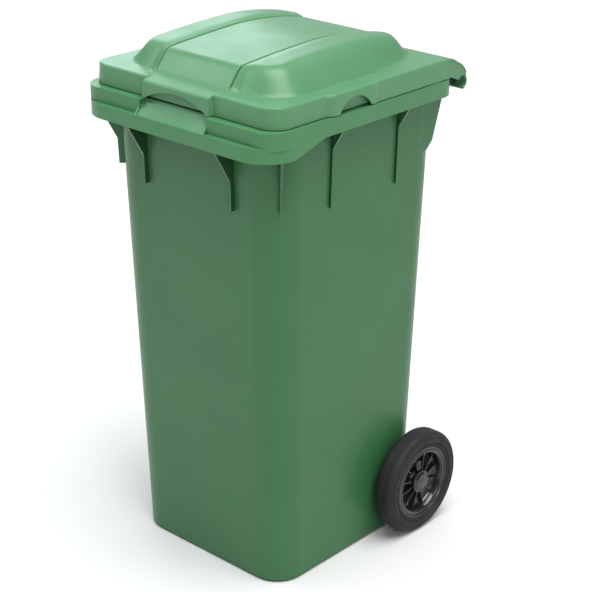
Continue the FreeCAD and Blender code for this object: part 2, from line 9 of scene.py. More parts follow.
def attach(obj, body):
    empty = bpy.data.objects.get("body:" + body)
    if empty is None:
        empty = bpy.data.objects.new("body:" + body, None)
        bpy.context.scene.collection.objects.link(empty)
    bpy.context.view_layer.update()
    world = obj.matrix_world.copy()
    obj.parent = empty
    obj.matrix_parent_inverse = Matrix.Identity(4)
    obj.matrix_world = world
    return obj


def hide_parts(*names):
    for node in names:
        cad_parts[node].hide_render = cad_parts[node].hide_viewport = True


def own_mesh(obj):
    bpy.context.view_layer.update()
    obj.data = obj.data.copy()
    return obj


# Visual model of a two-wheeled refuse bin: the lid, tyres, rims and latch springs are finer meshes
# in place of the part's own, and the container and the small hidden pieces are the part's own.

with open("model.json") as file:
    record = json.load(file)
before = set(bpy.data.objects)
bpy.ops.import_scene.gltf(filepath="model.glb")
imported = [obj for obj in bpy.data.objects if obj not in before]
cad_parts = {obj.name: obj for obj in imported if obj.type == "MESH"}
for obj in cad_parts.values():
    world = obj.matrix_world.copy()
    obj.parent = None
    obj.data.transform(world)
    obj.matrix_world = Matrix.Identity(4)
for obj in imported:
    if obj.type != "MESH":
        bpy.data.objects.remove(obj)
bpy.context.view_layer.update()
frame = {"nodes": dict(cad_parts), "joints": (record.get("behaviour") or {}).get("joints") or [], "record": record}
NODES = frame["nodes"]
MM = 0.001

# ---- dimensions, in millimetres as in the part --------------------------------------------
JOINT_AT = {
    joint["name"]: [round(value / MM, 3) for value in joint["pos_m"]]
    for joint in frame["joints"] if "pos_m" in joint
}
# the hinge's and the axle's places come from the part's own joints
HINGE_Y, HINGE_Z = JOINT_AT["lid_hinge"][1:]
WHEEL_X, AXLE_Y, AXLE_Z = JOINT_AT["wheel_left_spin"]
SIDES = (("left", 1), ("right", -1))

LID_HALF_FRONT = 214.6      # half width ahead of the step in the lid's sides
LID_HALF_REAR = 219.4       # half width behind it
LID_STEP = -109.0
LID_FRONT = -230.6
LID_REAR = 203.0            # where the top turns down into the rear lip
LID_CORNER = 36.0
LID_TOP = 906.0             # top of the rim around the hump
LID_SKIRT = 871.6           # lower edge of the skirt
LID_SHEET = 3.0
EDGE_R = 4.0                # rounding between top and skirt
SKIRT_LEVELS = 7
SKIRT_LEAN_SIDE = 1.6       # outward lean of the skirt, at the sides and at the front
SKIRT_LEAN_FRONT = 1.4

CROWN = 50.0                # highest point of the hump above the rim
CROWN_Y = 20.0              # where that point is; behind it the hump also narrows
CROWN_FRONT_FALL = 10.0
CROWN_REAR_FALL = 15.0
HUMP_FOOT = 188.0           # half width at the foot of the hump
HUMP_TAPER = 30.0           # how much narrower the foot is at the rear
HUMP_SIDE = 95.0            # where the side slopes begin
HUMP_REAR = 130.0           # where the rear slope begins
HUMP_OVAL = 2.3             # exponent of the hump's oval corners
HUMP_SLOPE = 0.56           # share of the way to the outline that the slope takes
RIDGE_SLOPE = (-197.0, 67.0, 0.42)    # front slope: foot, depth and softness of the shoulder
MIDDLE_SLOPE = (-206.0, 66.0, 0.24)
SUNK_FRONT = 2.6            # how far the middle panel lies below the ridges
SUNK_REAR = 5.0
CREASE_X = 84.0             # edge between the middle panel and a ridge
CREASE_RUN = 22.0           # width of the step from the middle panel to a ridge
GROOVE_X = CREASE_X + 0.9
GROOVE_DEPTH = 5.5
GROOVE_HALF = 1.5

PANEL_HALF = 77.0           # front grip panel
PANEL_OUT = 9.4
PANEL_FALL = 5.0
GRIP_FRONT = -100.0         # side grips
GRIP_REAR = 5.0
GRIP_MIDDLE = -49.0
GRIP_OUT = 3.0
FRONT_ARCH = (73.0, 20.0)   # half span and rise
SIDE_ARCH = (40.0, 23.0)
ARCH_BELOW = 8.0            # how far an arch's cutter reaches below the skirt

LIP_R = 15.0                # rear lip around the hinge axis
NOTCH_INNER = 75.0          # gaps in the rear lip
NOTCH_OUTER = 185.0
NOTCH_Y = 222.0
EAR_R = 11.6
EAR_SPANS = ((66.5, 75.4), (184.6, 193.5))

TYRE_HALF = 21.0
TREAD_R = 100.0
SPOKES = 12
FRONT_RIB_HALF = 1.0        # half thickness of the ribs in front of and behind the dish
BACK_RIB_HALF = 1.2
RIM_STEPS = 144
BOSS_R = 6.0
BOSS_OUT = 4.0

SPRING_FOOT = 126.05
SPRING_LENGTH = 12.9
SPRING_R = 2.9
SPRING_WIRE_R = 0.4
SPRING_TURNS = 5.9
SPRING_OUT = 4.0            # from the middle of the wheel

COLLAR_FOOT = 818.5         # the collar, which reads paler because painted shade darkens the walls below it: its lower edge, and the planes outside which it lies
COLLAR_SIDE = 205.5
COLLAR_FRONT = -222.5
COLLAR_LEDGE = 840.5
RIB_FOOT = 700.0            # heights between which the ribs' sides are darkened with painted shade
RIB_TOP = 842.0
FRONT_RIB_SIDE = 180.0      # the front ribs lie within this half width, ahead of FRONT_RIB_ROOT
FRONT_RIB_ROOT = -195.0
SIDE_RIB_ROOT = 196.5       # the side ribs lie outside this half width, behind SIDE_RIB_FRONT
SIDE_RIB_FRONT = -150.0
FACING = 0.80               # how squarely a face has to look sideways or ahead to be a rib's side

CONTAINER_EDGE_R = 1.4
RIM_EDGE_R = 0.45

CAMERA_AZIMUTH = 42.0
CAMERA_ELEVATION = 23.3
CAMERA_ROLL = 0.5
CAMERA_DISTANCE = 2975.5
CAMERA_TARGET = (32.0, 21.9, 464.7)
CAMERA_LENS = 99.63
FLOOR_HALF = 12000.0


# ---- mesh helpers -------------------------------------------------------------------------
def add_object(name, verts, faces, material, smooth_angle=35.0):
    """New mesh object from vertices in millimetres."""
    mesh = bpy.data.meshes.new(name)
    mesh.from_pydata([Vector(v) * MM for v in verts], [], faces)
    bm = bmesh.new()
    bm.from_mesh(mesh)
    bmesh.ops.remove_doubles(bm, verts=bm.verts, dist=1e-6)
    bmesh.ops.recalc_face_normals(bm, faces=bm.faces)
    bm.to_mesh(mesh)
    bm.free()
    obj = bpy.data.objects.new(name, mesh)
    bpy.context.scene.collection.objects.link(obj)
    mesh.materials.append(material)
    shade(obj, smooth_angle)
    return obj


def shade(obj, angle):
    """Smooth shading with sharp edges beyond the angle in degrees."""
    mesh = obj.data
    mesh.shade_smooth()
    bm = bmesh.new()
    bm.from_mesh(mesh)
    limit = math.radians(angle)
    for edge in bm.edges:
        if len(edge.link_faces) == 2 and edge.calc_face_angle(0) > limit:
            edge.smooth = False
    bm.to_mesh(mesh)
    bm.free()


def apply_modifiers(obj):
    """Replaces the object's mesh by what its modifiers make of it."""
    graph = bpy.context.evaluated_depsgraph_get()
    mesh = bpy.data.meshes.new_from_object(obj.evaluated_get(graph))
    obj.modifiers.clear()
    obj.data = mesh


def thicken(obj, thickness):
    """Gives a surface a wall of even thickness on its inner side."""
    modifier = obj.modifiers.new("sheet", "SOLIDIFY")
    modifier.thickness = thickness * MM
    modifier.offset = -1.0
    modifier.use_even_offset = True
    apply_modifiers(obj)


def cut_away(obj, cutter):
    """Takes the cutter's volume out of the object, and removes the cutter."""
    modifier = obj.modifiers.new("cut", "BOOLEAN")
    modifier.operation = "DIFFERENCE"
    modifier.solver = "EXACT"
    modifier.object = cutter
    bpy.context.view_layer.update()
    apply_modifiers(obj)
    bpy.data.objects.remove(cutter)


def prism_between(name, outline, start, end, material):
    """Closed solid between two copies of an outline; start and end map a point to 3-D."""
    count = len(outline)
    verts = [start(p) for p in outline] + [end(p) for p in outline]
    faces = [tuple(range(count)), tuple(range(2 * count - 1, count - 1, -1))]
    for i in range(count):
        j = (i + 1) % count
        faces.append((i, j, count + j, count + i))
    return add_object(name, verts, faces, material)


def arc(centre, radius, start_deg, end_deg, steps):
    """Points on an arc, as (first, second) coordinates."""
    points = []
    for i in range(steps + 1):
        angle = math.radians(start_deg + (end_deg - start_deg) * i / steps)
        points.append((centre[0] + radius * math.cos(angle), centre[1] + radius * math.sin(angle)))
    return points


def lathe(name, profile, centre_x, side, material, steps=128, smooth_angle=32.0):
    """Solid turned about the axle from (outward offset, radius) points; closed at both ends."""
    verts = []
    faces = []
    count = len(profile)
    for i in range(steps):
        angle = 2 * math.pi * i / steps
        for out, radius in profile:
            verts.append((
                side * (centre_x + out),
                AXLE_Y + radius * math.cos(angle),
                AXLE_Z + radius * math.sin(angle),
            ))
    for i in range(steps):
        for k in range(count):
            n = (k + 1) % count
            m = (i + 1) % steps
            faces.append((i * count + k, i * count + n, m * count + n, m * count + k))
    return add_object(name, verts, faces, material, smooth_angle)


def smoothstep(t):
    """0 to 1 as t goes from 0 to 1, level at both ends."""
    t = min(1.0, max(0.0, t))
    return t * t * (3 - 2 * t)


# ---- materials ----------------------------------------------------------------------------
def new_material(name, color, roughness, specular=0.5, coat=0.0, metallic=0.0):
    """Plain material, with its node tree and shader; colours are linear."""
    material = bpy.data.materials.new(name)
    material.use_nodes = True
    shader = material.node_tree.nodes["Principled BSDF"]
    shader.inputs["Base Color"].default_value = (*color, 1)
    shader.inputs["Roughness"].default_value = roughness
    shader.inputs["Specular IOR Level"].default_value = specular
    shader.inputs["Metallic"].default_value = metallic
    shader.inputs["Coat Weight"].default_value = coat
    return material, material.node_tree, shader


def noise_node(tree, scale, detail=3.0):
    """Noise in the object's own coordinates; scale is in cells per metre."""
    coords = tree.nodes.new("ShaderNodeTexCoord")
    noise = tree.nodes.new("ShaderNodeTexNoise")
    noise.inputs["Scale"].default_value = scale
    noise.inputs["Detail"].default_value = detail
    noise.inputs["Roughness"].default_value = 0.55
    tree.links.new(coords.outputs["Object"], noise.inputs["Vector"])
    return noise


def vary_color(tree, shader, noise, dark, light):
    """Colour that wanders between two shades with the noise."""
    ramp = tree.nodes.new("ShaderNodeValToRGB")
    ramp.color_ramp.elements[0].position = 0.3
    ramp.color_ramp.elements[0].color = (*dark, 1)
    ramp.color_ramp.elements[1].position = 0.7
    ramp.color_ramp.elements[1].color = (*light, 1)
    tree.links.new(noise.outputs["Fac"], ramp.inputs["Fac"])
    tree.links.new(ramp.outputs["Color"], shader.inputs["Base Color"])


def vary_roughness(tree, shader, noise, low, high):
    """Roughness that wanders between two values with the noise."""
    spread = tree.nodes.new("ShaderNodeMapRange")
    spread.inputs["From Min"].default_value = 0.3
    spread.inputs["From Max"].default_value = 0.7
    spread.inputs["To Min"].default_value = low
    spread.inputs["To Max"].default_value = high
    tree.links.new(noise.outputs["Fac"], spread.inputs["Value"])
    tree.links.new(spread.outputs["Result"], shader.inputs["Roughness"])


def add_bump(tree, shader, heights, strength, distance):
    """Bump from one or more height outputs, chained; each further one is half as deep."""
    normal = None
    for number, height in enumerate(heights):
        bump = tree.nodes.new("ShaderNodeBump")
        bump.inputs["Strength"].default_value = strength
        bump.inputs["Distance"].default_value = distance / 2 ** number
        tree.links.new(height, bump.inputs["Height"])
        if normal is not None:
            tree.links.new(normal, bump.inputs["Normal"])
        normal = bump.outputs["Normal"]
    tree.links.new(normal, shader.inputs["Normal"])


def moulded_green(name, base, roughness, specular):
    """Dyed polyethylene: faint mottling, fine moulded grain and slightly wavy walls."""
    dark = tuple(c * 0.955 for c in base)
    light = tuple(c * 1.045 for c in base)
    material, tree, shader = new_material(name, base, roughness, specular=specular)
    mottle = noise_node(tree, 6.0, 4.0)
    vary_color(tree, shader, mottle, dark, light)
    vary_roughness(tree, shader, noise_node(tree, 14.0, 3.0), roughness - 0.05, roughness + 0.05)
    grain = noise_node(tree, 900.0, 2.0)
    waves = noise_node(tree, 9.0, 1.0)
    add_bump(tree, shader, [grain.outputs["Fac"], waves.outputs["Fac"]], 0.10, 0.0006)
    return material


def step_mask(tree, value, edge, width, rising=True):
    """0 to 1 where a coordinate passes an edge in metres, over a short width on both sides."""
    ramp = tree.nodes.new("ShaderNodeMapRange")
    ramp.inputs["From Min"].default_value = edge - width
    ramp.inputs["From Max"].default_value = edge + width
    ramp.inputs["To Min"].default_value = 0.0 if rising else 1.0
    ramp.inputs["To Max"].default_value = 1.0 if rising else 0.0
    tree.links.new(value, ramp.inputs["Value"])
    return ramp.outputs["Result"]


def combine(tree, operation, first, second=None):
    """Result of one math node on one or two values."""
    node = tree.nodes.new("ShaderNodeMath")
    node.operation = operation
    tree.links.new(first, node.inputs[0])
    if second is not None:
        tree.links.new(second, node.inputs[1])
    return node.outputs["Value"]


def chain(tree, operation, masks):
    """One mask out of several: MULTIPLY is 1 where all of them are, MAXIMUM where any is."""
    result = masks[0]
    for mask in masks[1:]:
        result = combine(tree, operation, result, mask)
    return result


def split_coords(tree, output):
    """X, Y and Z sockets of the object's own coordinates, or of its normals."""
    coords = tree.nodes.new("ShaderNodeTexCoord")
    parts = tree.nodes.new("ShaderNodeSeparateXYZ")
    tree.links.new(coords.outputs[output], parts.inputs["Vector"])
    return parts.outputs


def tint(tree, color, mask, factor):
    """Multiplies a colour by the factor where the mask is 1."""
    mix = tree.nodes.new("ShaderNodeMix")
    mix.data_type = "RGBA"
    mix.blend_type = "MULTIPLY"
    mix.inputs["B"].default_value = (*factor, 1)
    tree.links.new(mask, mix.inputs["Factor"])
    tree.links.new(color, mix.inputs["A"])
    return mix.outputs["Result"]


def container_green():
    """Moulded green with painted shade: the walls below the collar are darkened so that the collar reads paler,
    and the sides of the ribs are darkened.
    """
    material = moulded_green("green_body", (0.056, 0.195, 0.078), 0.36, 0.34)
    tree = material.node_tree
    shader = tree.nodes["Principled BSDF"]
    color = shader.inputs["Base Color"].links[0].from_socket
    place = split_coords(tree, "Object")
    facing = split_coords(tree, "Normal")
    aside = combine(tree, "ABSOLUTE", place["X"])
    # masks of the ribs' sides under the collar, where painted shade goes
    front_rib_shade = chain(tree, "MULTIPLY", [
        step_mask(tree, combine(tree, "ABSOLUTE", facing["X"]), FACING, 0.06),
        step_mask(tree, aside, FRONT_RIB_SIDE * MM, 0.002, rising=False),
        step_mask(tree, place["Y"], FRONT_RIB_ROOT * MM, 0.004, rising=False),
    ])
    side_rib_shade = chain(tree, "MULTIPLY", [
        step_mask(tree, combine(tree, "ABSOLUTE", facing["Y"]), FACING, 0.06),
        step_mask(tree, aside, SIDE_RIB_ROOT * MM, 0.0005),
        step_mask(tree, place["Y"], SIDE_RIB_FRONT * MM, 0.004),
    ])
    ribs = chain(tree, "MULTIPLY", [
        chain(tree, "MAXIMUM", [front_rib_shade, side_rib_shade]),
        step_mask(tree, place["Z"], RIB_TOP * MM, 0.001, rising=False),
        step_mask(tree, place["Z"], RIB_FOOT * MM, 0.004),
    ])
    # the collar's region; everything outside it, the walls below, gets painted shade
    beyond_walls = chain(tree, "MAXIMUM", [
        step_mask(tree, aside, COLLAR_SIDE * MM, 0.0005),
        step_mask(tree, place["Y"], COLLAR_FRONT * MM, 0.0005, rising=False),
        step_mask(tree, place["Z"], COLLAR_LEDGE * MM, 0.0005),
    ])
    above_foot = step_mask(tree, place["Z"], COLLAR_FOOT * MM, 0.0005)
    collar = chain(tree, "MULTIPLY", [above_foot, beyond_walls])
    walls = tree.nodes.new("ShaderNodeMath")
    walls.operation = "SUBTRACT"
    walls.inputs[0].default_value = 1.0
    tree.links.new(collar, walls.inputs[1])
    # painted shade: the walls outside the collar are darkened, which leaves the collar paler
    color = tint(tree, color, walls.outputs["Value"], (0.64, 0.70, 0.635))
    # painted shade: the sides of the ribs are darkened
    color = tint(tree, color, ribs, (0.42, 0.36, 0.40))
    tree.links.new(color, shader.inputs["Base Color"])
    return material


def lid_green():
    """Moulded green with painted shade in the two grooves beside the middle panel."""
    material = moulded_green("green_lid", (0.082, 0.224, 0.106), 0.33, 0.36)
    tree = material.node_tree
    shader = tree.nodes["Principled BSDF"]
    color = shader.inputs["Base Color"].links[0].from_socket
    place = split_coords(tree, "Object")
    aside = combine(tree, "ABSOLUTE", place["X"])
    # painted shade: a dark line along each groove, where the ridge shades the panel
    groove = chain(tree, "MULTIPLY", [
        step_mask(tree, aside, GROOVE_X * MM - 0.0014, 0.0006),
        step_mask(tree, aside, GROOVE_X * MM + 0.0014, 0.0006, rising=False),
        step_mask(tree, place["Z"], 0.908, 0.002),
    ])
    color = tint(tree, color, groove, (0.42, 0.42, 0.42))
    tree.links.new(color, shader.inputs["Base Color"])
    return material


def rubber():
    """Dull black tyre with a fine grain."""
    material, tree, shader = new_material("tyre_rubber", (0.020, 0.020, 0.021), 0.62, 0.25)
    vary_color(tree, shader, noise_node(tree, 25.0, 4.0), (0.014, 0.014, 0.015), (0.021, 0.021, 0.021))
    vary_roughness(tree, shader, noise_node(tree, 30.0, 3.0), 0.55, 0.7)
    add_bump(tree, shader, [noise_node(tree, 1400.0, 2.0).outputs["Fac"]], 0.12, 0.0004)
    return material


def black_gloss():
    """Polished black moulding, for the rims."""
    material, tree, shader = new_material("rim_plastic", (0.009, 0.010, 0.011), 0.2, 0.5, coat=0.15)
    vary_color(tree, shader, noise_node(tree, 30.0, 3.0), (0.007, 0.008, 0.009), (0.011, 0.012, 0.013))
    vary_roughness(tree, shader, noise_node(tree, 45.0, 3.0), 0.15, 0.24)
    add_bump(tree, shader, [noise_node(tree, 700.0, 2.0).outputs["Fac"]], 0.05, 0.0004)
    return material


def black_satin():
    """Black moulding without the polish, for small hidden pieces."""
    material, tree, shader = new_material("pin_plastic", (0.022, 0.023, 0.024), 0.45, 0.45)
    vary_color(tree, shader, noise_node(tree, 60.0, 3.0), (0.018, 0.019, 0.020), (0.027, 0.028, 0.029))
    add_bump(tree, shader, [noise_node(tree, 1200.0, 2.0).outputs["Fac"]], 0.08, 0.0004)
    return material


def pale_nylon():
    """Undyed nylon, for the bushes."""
    material, tree, shader = new_material("bush_plastic", (0.60, 0.58, 0.52), 0.45, 0.45)
    vary_color(tree, shader, noise_node(tree, 60.0, 3.0), (0.56, 0.54, 0.48), (0.64, 0.62, 0.56))
    add_bump(tree, shader, [noise_node(tree, 900.0, 2.0).outputs["Fac"]], 0.06, 0.0004)
    return material


def steel(name, tone, roughness):
    """Grey metal; tone is how light it is."""
    material, tree, shader = new_material(name, (tone, tone, tone * 1.02), roughness, metallic=1.0)
    dark = (tone * 0.85, tone * 0.85, tone * 0.88)
    light = (tone * 1.1, tone * 1.1, tone * 1.12)
    vary_color(tree, shader, noise_node(tree, 80.0, 4.0), dark, light)
    vary_roughness(tree, shader, noise_node(tree, 200.0, 3.0), roughness - 0.08, roughness + 0.08)
    add_bump(tree, shader, [noise_node(tree, 1500.0, 2.0).outputs["Fac"]], 0.05, 0.0003)
    return material


GREEN_BODY = container_green()
GREEN_LID = lid_green()
TYRE = rubber()
GLOSS = black_gloss()
SATIN = black_satin()
NYLON = pale_nylon()
ZINC = steel("zinc_steel", 0.55, 0.35)
SPRING = steel("spring_steel", 0.36, 0.32)

SLOT_MATERIALS = {
    "green_body": GREEN_BODY,
    "green_lid": GREEN_LID,
    "tyre_rubber": TYRE,
    "rim_plastic": GLOSS,
    "bush_plastic": NYLON,
    "zinc_steel": ZINC,
    "spring_steel": SPRING,
    "pin_plastic": SATIN,
}


def dress_cad_nodes():
    """Gives every CAD node the material of its slot; the hub caps share the rims' gloss."""
    slots = {part["node"]: part["material_slot"] for part in frame["record"]["subparts"]}
    for name, obj in NODES.items():
        material = GLOSS if name.startswith("hub_cap") else SLOT_MATERIALS[slots[name]]
        obj.data.materials.clear()
        obj.data.materials.append(material)


# ---- lid ----------------------------------------------------------------------------------
def rounded_rise(t, soft):
    """Share of full height: a straight slope with a small fillet at its foot and a soft shoulder."""
    if t <= 0:
        return 0.0
    fillet = 0.07
    t = t * t / (2 * fillet) if t < fillet else t - fillet / 2
    rise = (1 + soft) * t / (1 - fillet / 2)
    blend = min(1.0, max(0.0, 0.5 + 0.5 * (rise - 1) / soft))
    return rise + (1 - rise) * blend - soft * blend * (1 - blend)


def hump_share(x, y, front, front_depth, soft):
    """Height share of the hump, an oval-cornered mound; front is the foot of its front slope."""
    foot = HUMP_FOOT - HUMP_TAPER * smoothstep((y - CROWN_Y) / 180)
    u = max(0.0, (abs(x) - HUMP_SIDE) / (foot - HUMP_SIDE))
    v = 0.0
    if y < front + front_depth:
        v = (front + front_depth - y) / front_depth
    elif y > HUMP_REAR:
        v = (y - HUMP_REAR) / (LID_REAR - HUMP_REAR)
    reach = (u ** HUMP_OVAL + v ** HUMP_OVAL) ** (1 / HUMP_OVAL)
    return rounded_rise((1 - reach) / HUMP_SLOPE, soft)


def crown(y):
    """Height of the hump's top above the rim along its length."""
    front = max(0.0, CROWN_Y - y) / 180
    rear = max(0.0, y - CROWN_Y) / 140
    return CROWN - CROWN_FRONT_FALL * front ** 1.5 - CROWN_REAR_FALL * rear ** 2.2


def lid_height(x, y):
    """Height of the lid's top surface: a sunken middle panel between two ridges and grooves."""
    ridge = crown(y) * hump_share(x, y, *RIDGE_SLOPE)
    sunk = SUNK_FRONT + (SUNK_REAR - SUNK_FRONT) * smoothstep((y + 10) / 100)
    flat = (crown(y) - sunk) * hump_share(0.0, y, *MIDDLE_SLOPE)
    inside = smoothstep((CREASE_X + 20 - abs(x)) / CREASE_RUN)
    height = ridge * (1 - inside) + flat * inside
    groove = GROOVE_DEPTH * math.exp(-(((abs(x) - GROOVE_X) / GROOVE_HALF) ** 2))
    return LID_TOP + height - groove * smoothstep(height / 12)


def spread_lines(low, high, step, marks):
    """Grid lines from low to high, with fine lines around the marks (place, reach, spacing)."""
    lines = {round(low, 3), round(high, 3)}
    count = max(1, round((high - low) / step))
    for i in range(count + 1):
        lines.add(round(low + (high - low) * i / count, 3))
    for mark, reach, fine in marks:
        count = round(2 * reach / fine)
        for i in range(count + 1):
            value = mark - reach + 2 * reach * i / count
            if low < value < high:
                lines.add(round(value, 3))
    ordered = sorted(lines)
    kept = [ordered[0]]
    for value in ordered[1:]:
        if value - kept[-1] > 0.35:
            kept.append(value)
    kept[-1] = ordered[-1]
    return kept


def lid_plan(x, y):
    """Moves a point of the rectangular grid into the lid's rounded plan."""
    cx, cy = LID_HALF_FRONT - LID_CORNER, LID_FRONT + LID_CORNER
    if abs(x) > cx and y < cy:
        u = (abs(x) - cx) / LID_CORNER
        v = (cy - y) / LID_CORNER
        px = cx + LID_CORNER * u * math.sqrt(1 - v * v / 2)
        py = cy - LID_CORNER * v * math.sqrt(1 - u * u / 2)
        x, y = math.copysign(px, x), py
    wider = (LID_HALF_REAR - LID_HALF_FRONT) * smoothstep((y - LID_STEP + 4) / 8)
    bulge = GRIP_OUT * smoothstep((y - GRIP_FRONT + 4) / 5) * smoothstep((GRIP_REAR + 8 - y) / 14)
    near_side = smoothstep((abs(x) - (LID_HALF_FRONT - 14)) / 10)
    x = math.copysign(abs(x) + (wider + bulge) * near_side, x)
    near_front = smoothstep((LID_FRONT + 16 - y) / 12)
    y -= PANEL_OUT * smoothstep((PANEL_HALF + 1.5 - abs(x)) / 3) * near_front
    return x, y


def edge_drop(gap):
    """How far the rounded edge lies below the flat, at a distance in from the outline."""
    if gap >= EDGE_R:
        return 0.0
    return EDGE_R - math.sqrt(max(0.0, EDGE_R ** 2 - (EDGE_R - gap) ** 2))


def lid_grid():
    """Grid lines across and along the lid, finer at every edge, groove, step and grip."""
    across = []
    for s in (-1, 1):
        across += [(s * LID_HALF_FRONT, 4.2, 0.7), (s * (CREASE_X + 0.8), 5, 0.6), (s * PANEL_HALF, 2.4, 0.8)]
        across += [(s * NOTCH_INNER, 0.8, 0.8), (s * NOTCH_OUTER, 0.8, 0.8)]
    along = [(LID_FRONT, 4.2, 0.7), (LID_STEP, 5, 1.0), (GRIP_FRONT, 5, 1.0), (GRIP_REAR, 8, 1.0)]
    xs = spread_lines(-LID_HALF_FRONT, LID_HALF_FRONT, 4.0, across)
    return xs, spread_lines(LID_FRONT, LID_REAR, 4.0, along)


def lip_outline():
    """Rear lip from the lid's top down around the hinge axis, as (y, z) points."""
    lip = [(LID_REAR + 9, LID_TOP - 1.6), (LID_REAR + 18, LID_TOP - 5), (NOTCH_Y + 7, LID_TOP - 10)]
    lip += [(HINGE_Y - 3, HINGE_Z + 33.5), (HINGE_Y + 5, HINGE_Z + 27), (HINGE_Y + 11, HINGE_Z + 20)]
    return lip + arc((HINGE_Y, HINGE_Z), LIP_R, 40, -72, 14)


def lid_row(x, ys, lip):
    """Points along the lid at one grid line: over the top, then down the rear lip."""
    row = []
    for y in ys:
        px, py = lid_plan(x, y)
        drop = edge_drop(min(LID_HALF_FRONT - abs(x), y - LID_FRONT))
        slope = PANEL_FALL * smoothstep((LID_FRONT + 20 - y) / 20)
        slope *= smoothstep((PANEL_HALF + 1.5 - abs(x)) / 3)
        row.append((px, py, lid_height(x, y) - drop - slope))
    px = lid_plan(x, LID_REAR)[0]
    for y, z in lip:
        pull = edge_drop(LID_HALF_FRONT - abs(x)) / math.hypot(y - HINGE_Y, z - HINGE_Z)
        row.append((px, y - (y - HINGE_Y) * pull, z - (z - HINGE_Z) * pull))
    return row


def hang_skirt(verts, faces, path):
    """Adds the skirt below a path of points along the lid's front and side edges."""
    above = path
    for level in range(1, SKIRT_LEVELS + 1):
        share = level / SKIRT_LEVELS
        first = len(verts)
        for v in path:
            x, y, z = verts[v]
            lean = math.copysign(SKIRT_LEAN_SIDE, x)
            verts.append((x + lean * share, y - SKIRT_LEAN_FRONT * share, z + (LID_SKIRT - z) * share))
        below = list(range(first, len(verts)))
        for k in range(len(path) - 1):
            faces.append((above[k], above[k + 1], below[k + 1], below[k]))
        above = below


def lid_shell():
    """Top surface, skirt and rear lip of the lid as one sheet."""
    xs, ys = lid_grid()
    lip = lip_outline()
    rows = len(ys) + len(lip)
    verts = [point for x in xs for point in lid_row(x, ys, lip)]
    faces = []
    for i in range(len(xs) - 1):
        in_notch = NOTCH_INNER < abs(xs[i] + xs[i + 1]) / 2 < NOTCH_OUTER
        for j in range(len(ys) + 1 if in_notch else rows - 1):
            a = i * rows + j
            faces.append((a, a + rows, a + rows + 1, a + 1))
    path = list(range(len(ys) - 1, -1, -1))
    path += [i * rows for i in range(1, len(xs))]
    path += [(len(xs) - 1) * rows + j for j in range(1, len(ys))]
    hang_skirt(verts, faces, path)
    shell = add_object("lid_shell", verts, faces, GREEN_LID, 38)
    thicken(shell, LID_SHEET)
    return shell


def arch_outline(half_span, rise):
    """Half-round grip opening, as (along, z) points."""
    radius = (half_span ** 2 + rise ** 2) / (2 * rise)
    swing = math.degrees(math.asin(half_span / radius))
    points = arc((0, LID_SKIRT + rise - radius), radius, 90 - swing, 90 + swing, 24)
    return points + [(-half_span, LID_SKIRT - ARCH_BELOW), (half_span, LID_SKIRT - ARCH_BELOW)]


def cut_arches(shell):
    """Cuts the three grip arches out of the skirt."""
    front = arch_outline(*FRONT_ARCH)
    cutter = prism_between(
        "front_arch", front,
        lambda p: (p[0], LID_FRONT - 20, p[1]), lambda p: (p[0], LID_FRONT - 1.0, p[1]), GREEN_LID,
    )
    cut_away(shell, cutter)
    side = arch_outline(*SIDE_ARCH)
    for sign in (1, -1):
        cutter = prism_between(
            "side_arch", side,
            lambda p: (sign * (LID_HALF_REAR + 12), p[0] + GRIP_MIDDLE, p[1]),
            lambda p: (sign * (LID_HALF_FRONT + 2), p[0] + GRIP_MIDDLE, p[1]), GREEN_LID,
        )
        cut_away(shell, cutter)


def inner_skirts():
    """The sunken faces that show behind the three grip arches."""
    made = []
    outline = [(-PANEL_HALF - 1, LID_SKIRT + 1), (PANEL_HALF + 1, LID_SKIRT + 1),
               (PANEL_HALF + 1, LID_TOP - 5), (-PANEL_HALF - 1, LID_TOP - 5)]
    made.append(prism_between(
        "lid_front_recess", outline,
        lambda p: (p[0], LID_FRONT, p[1]), lambda p: (p[0], LID_FRONT + LID_SHEET, p[1]), GREEN_LID,
    ))
    for name, sign in SIDES:
        outline = [(GRIP_FRONT, LID_SKIRT + 1), (GRIP_REAR, LID_SKIRT + 1),
                   (GRIP_REAR, LID_TOP - 5), (GRIP_FRONT, LID_TOP - 5)]
        made.append(prism_between(
            "lid_side_recess_" + name, outline,
            lambda p: (sign * (LID_HALF_FRONT - 0.5), p[0], p[1]),
            lambda p: (sign * (LID_HALF_FRONT - 0.5 - LID_SHEET), p[0], p[1]), GREEN_LID,
        ))
    return made


def lid_ends():
    """End plates that close the rear lip at the sides, with a round opening at the hinge pin."""
    outer = [(LID_REAR - 8, LID_TOP - 2.5), (LID_REAR + 9, LID_TOP - 3.6), (LID_REAR + 18, LID_TOP - 7)]
    outer += [(NOTCH_Y + 7, LID_TOP - 12), (HINGE_Y - 4, HINGE_Z + 31.5), (HINGE_Y + 4, HINGE_Z + 25)]
    outer += [(HINGE_Y + 9.5, HINGE_Z + 18)] + arc((HINGE_Y, HINGE_Z), LIP_R - 1.4, 38, -72, 12)
    inner = arc((HINGE_Y, HINGE_Z), LIP_R - LID_SHEET, -72, 150, 20)
    inner += [(LID_REAR + 17, LID_SKIRT - 4), (LID_REAR + 8, LID_SKIRT), (LID_REAR - 8, LID_SKIRT)]
    made = []
    for name, sign in SIDES:
        made.append(prism_between(
            "lid_end_" + name, outer + inner,
            lambda p: (sign * (LID_HALF_REAR - 0.8), p[0], p[1]),
            lambda p: (sign * (LID_HALF_REAR - 0.8 - LID_SHEET), p[0], p[1]), GREEN_LID,
        ))
    return made


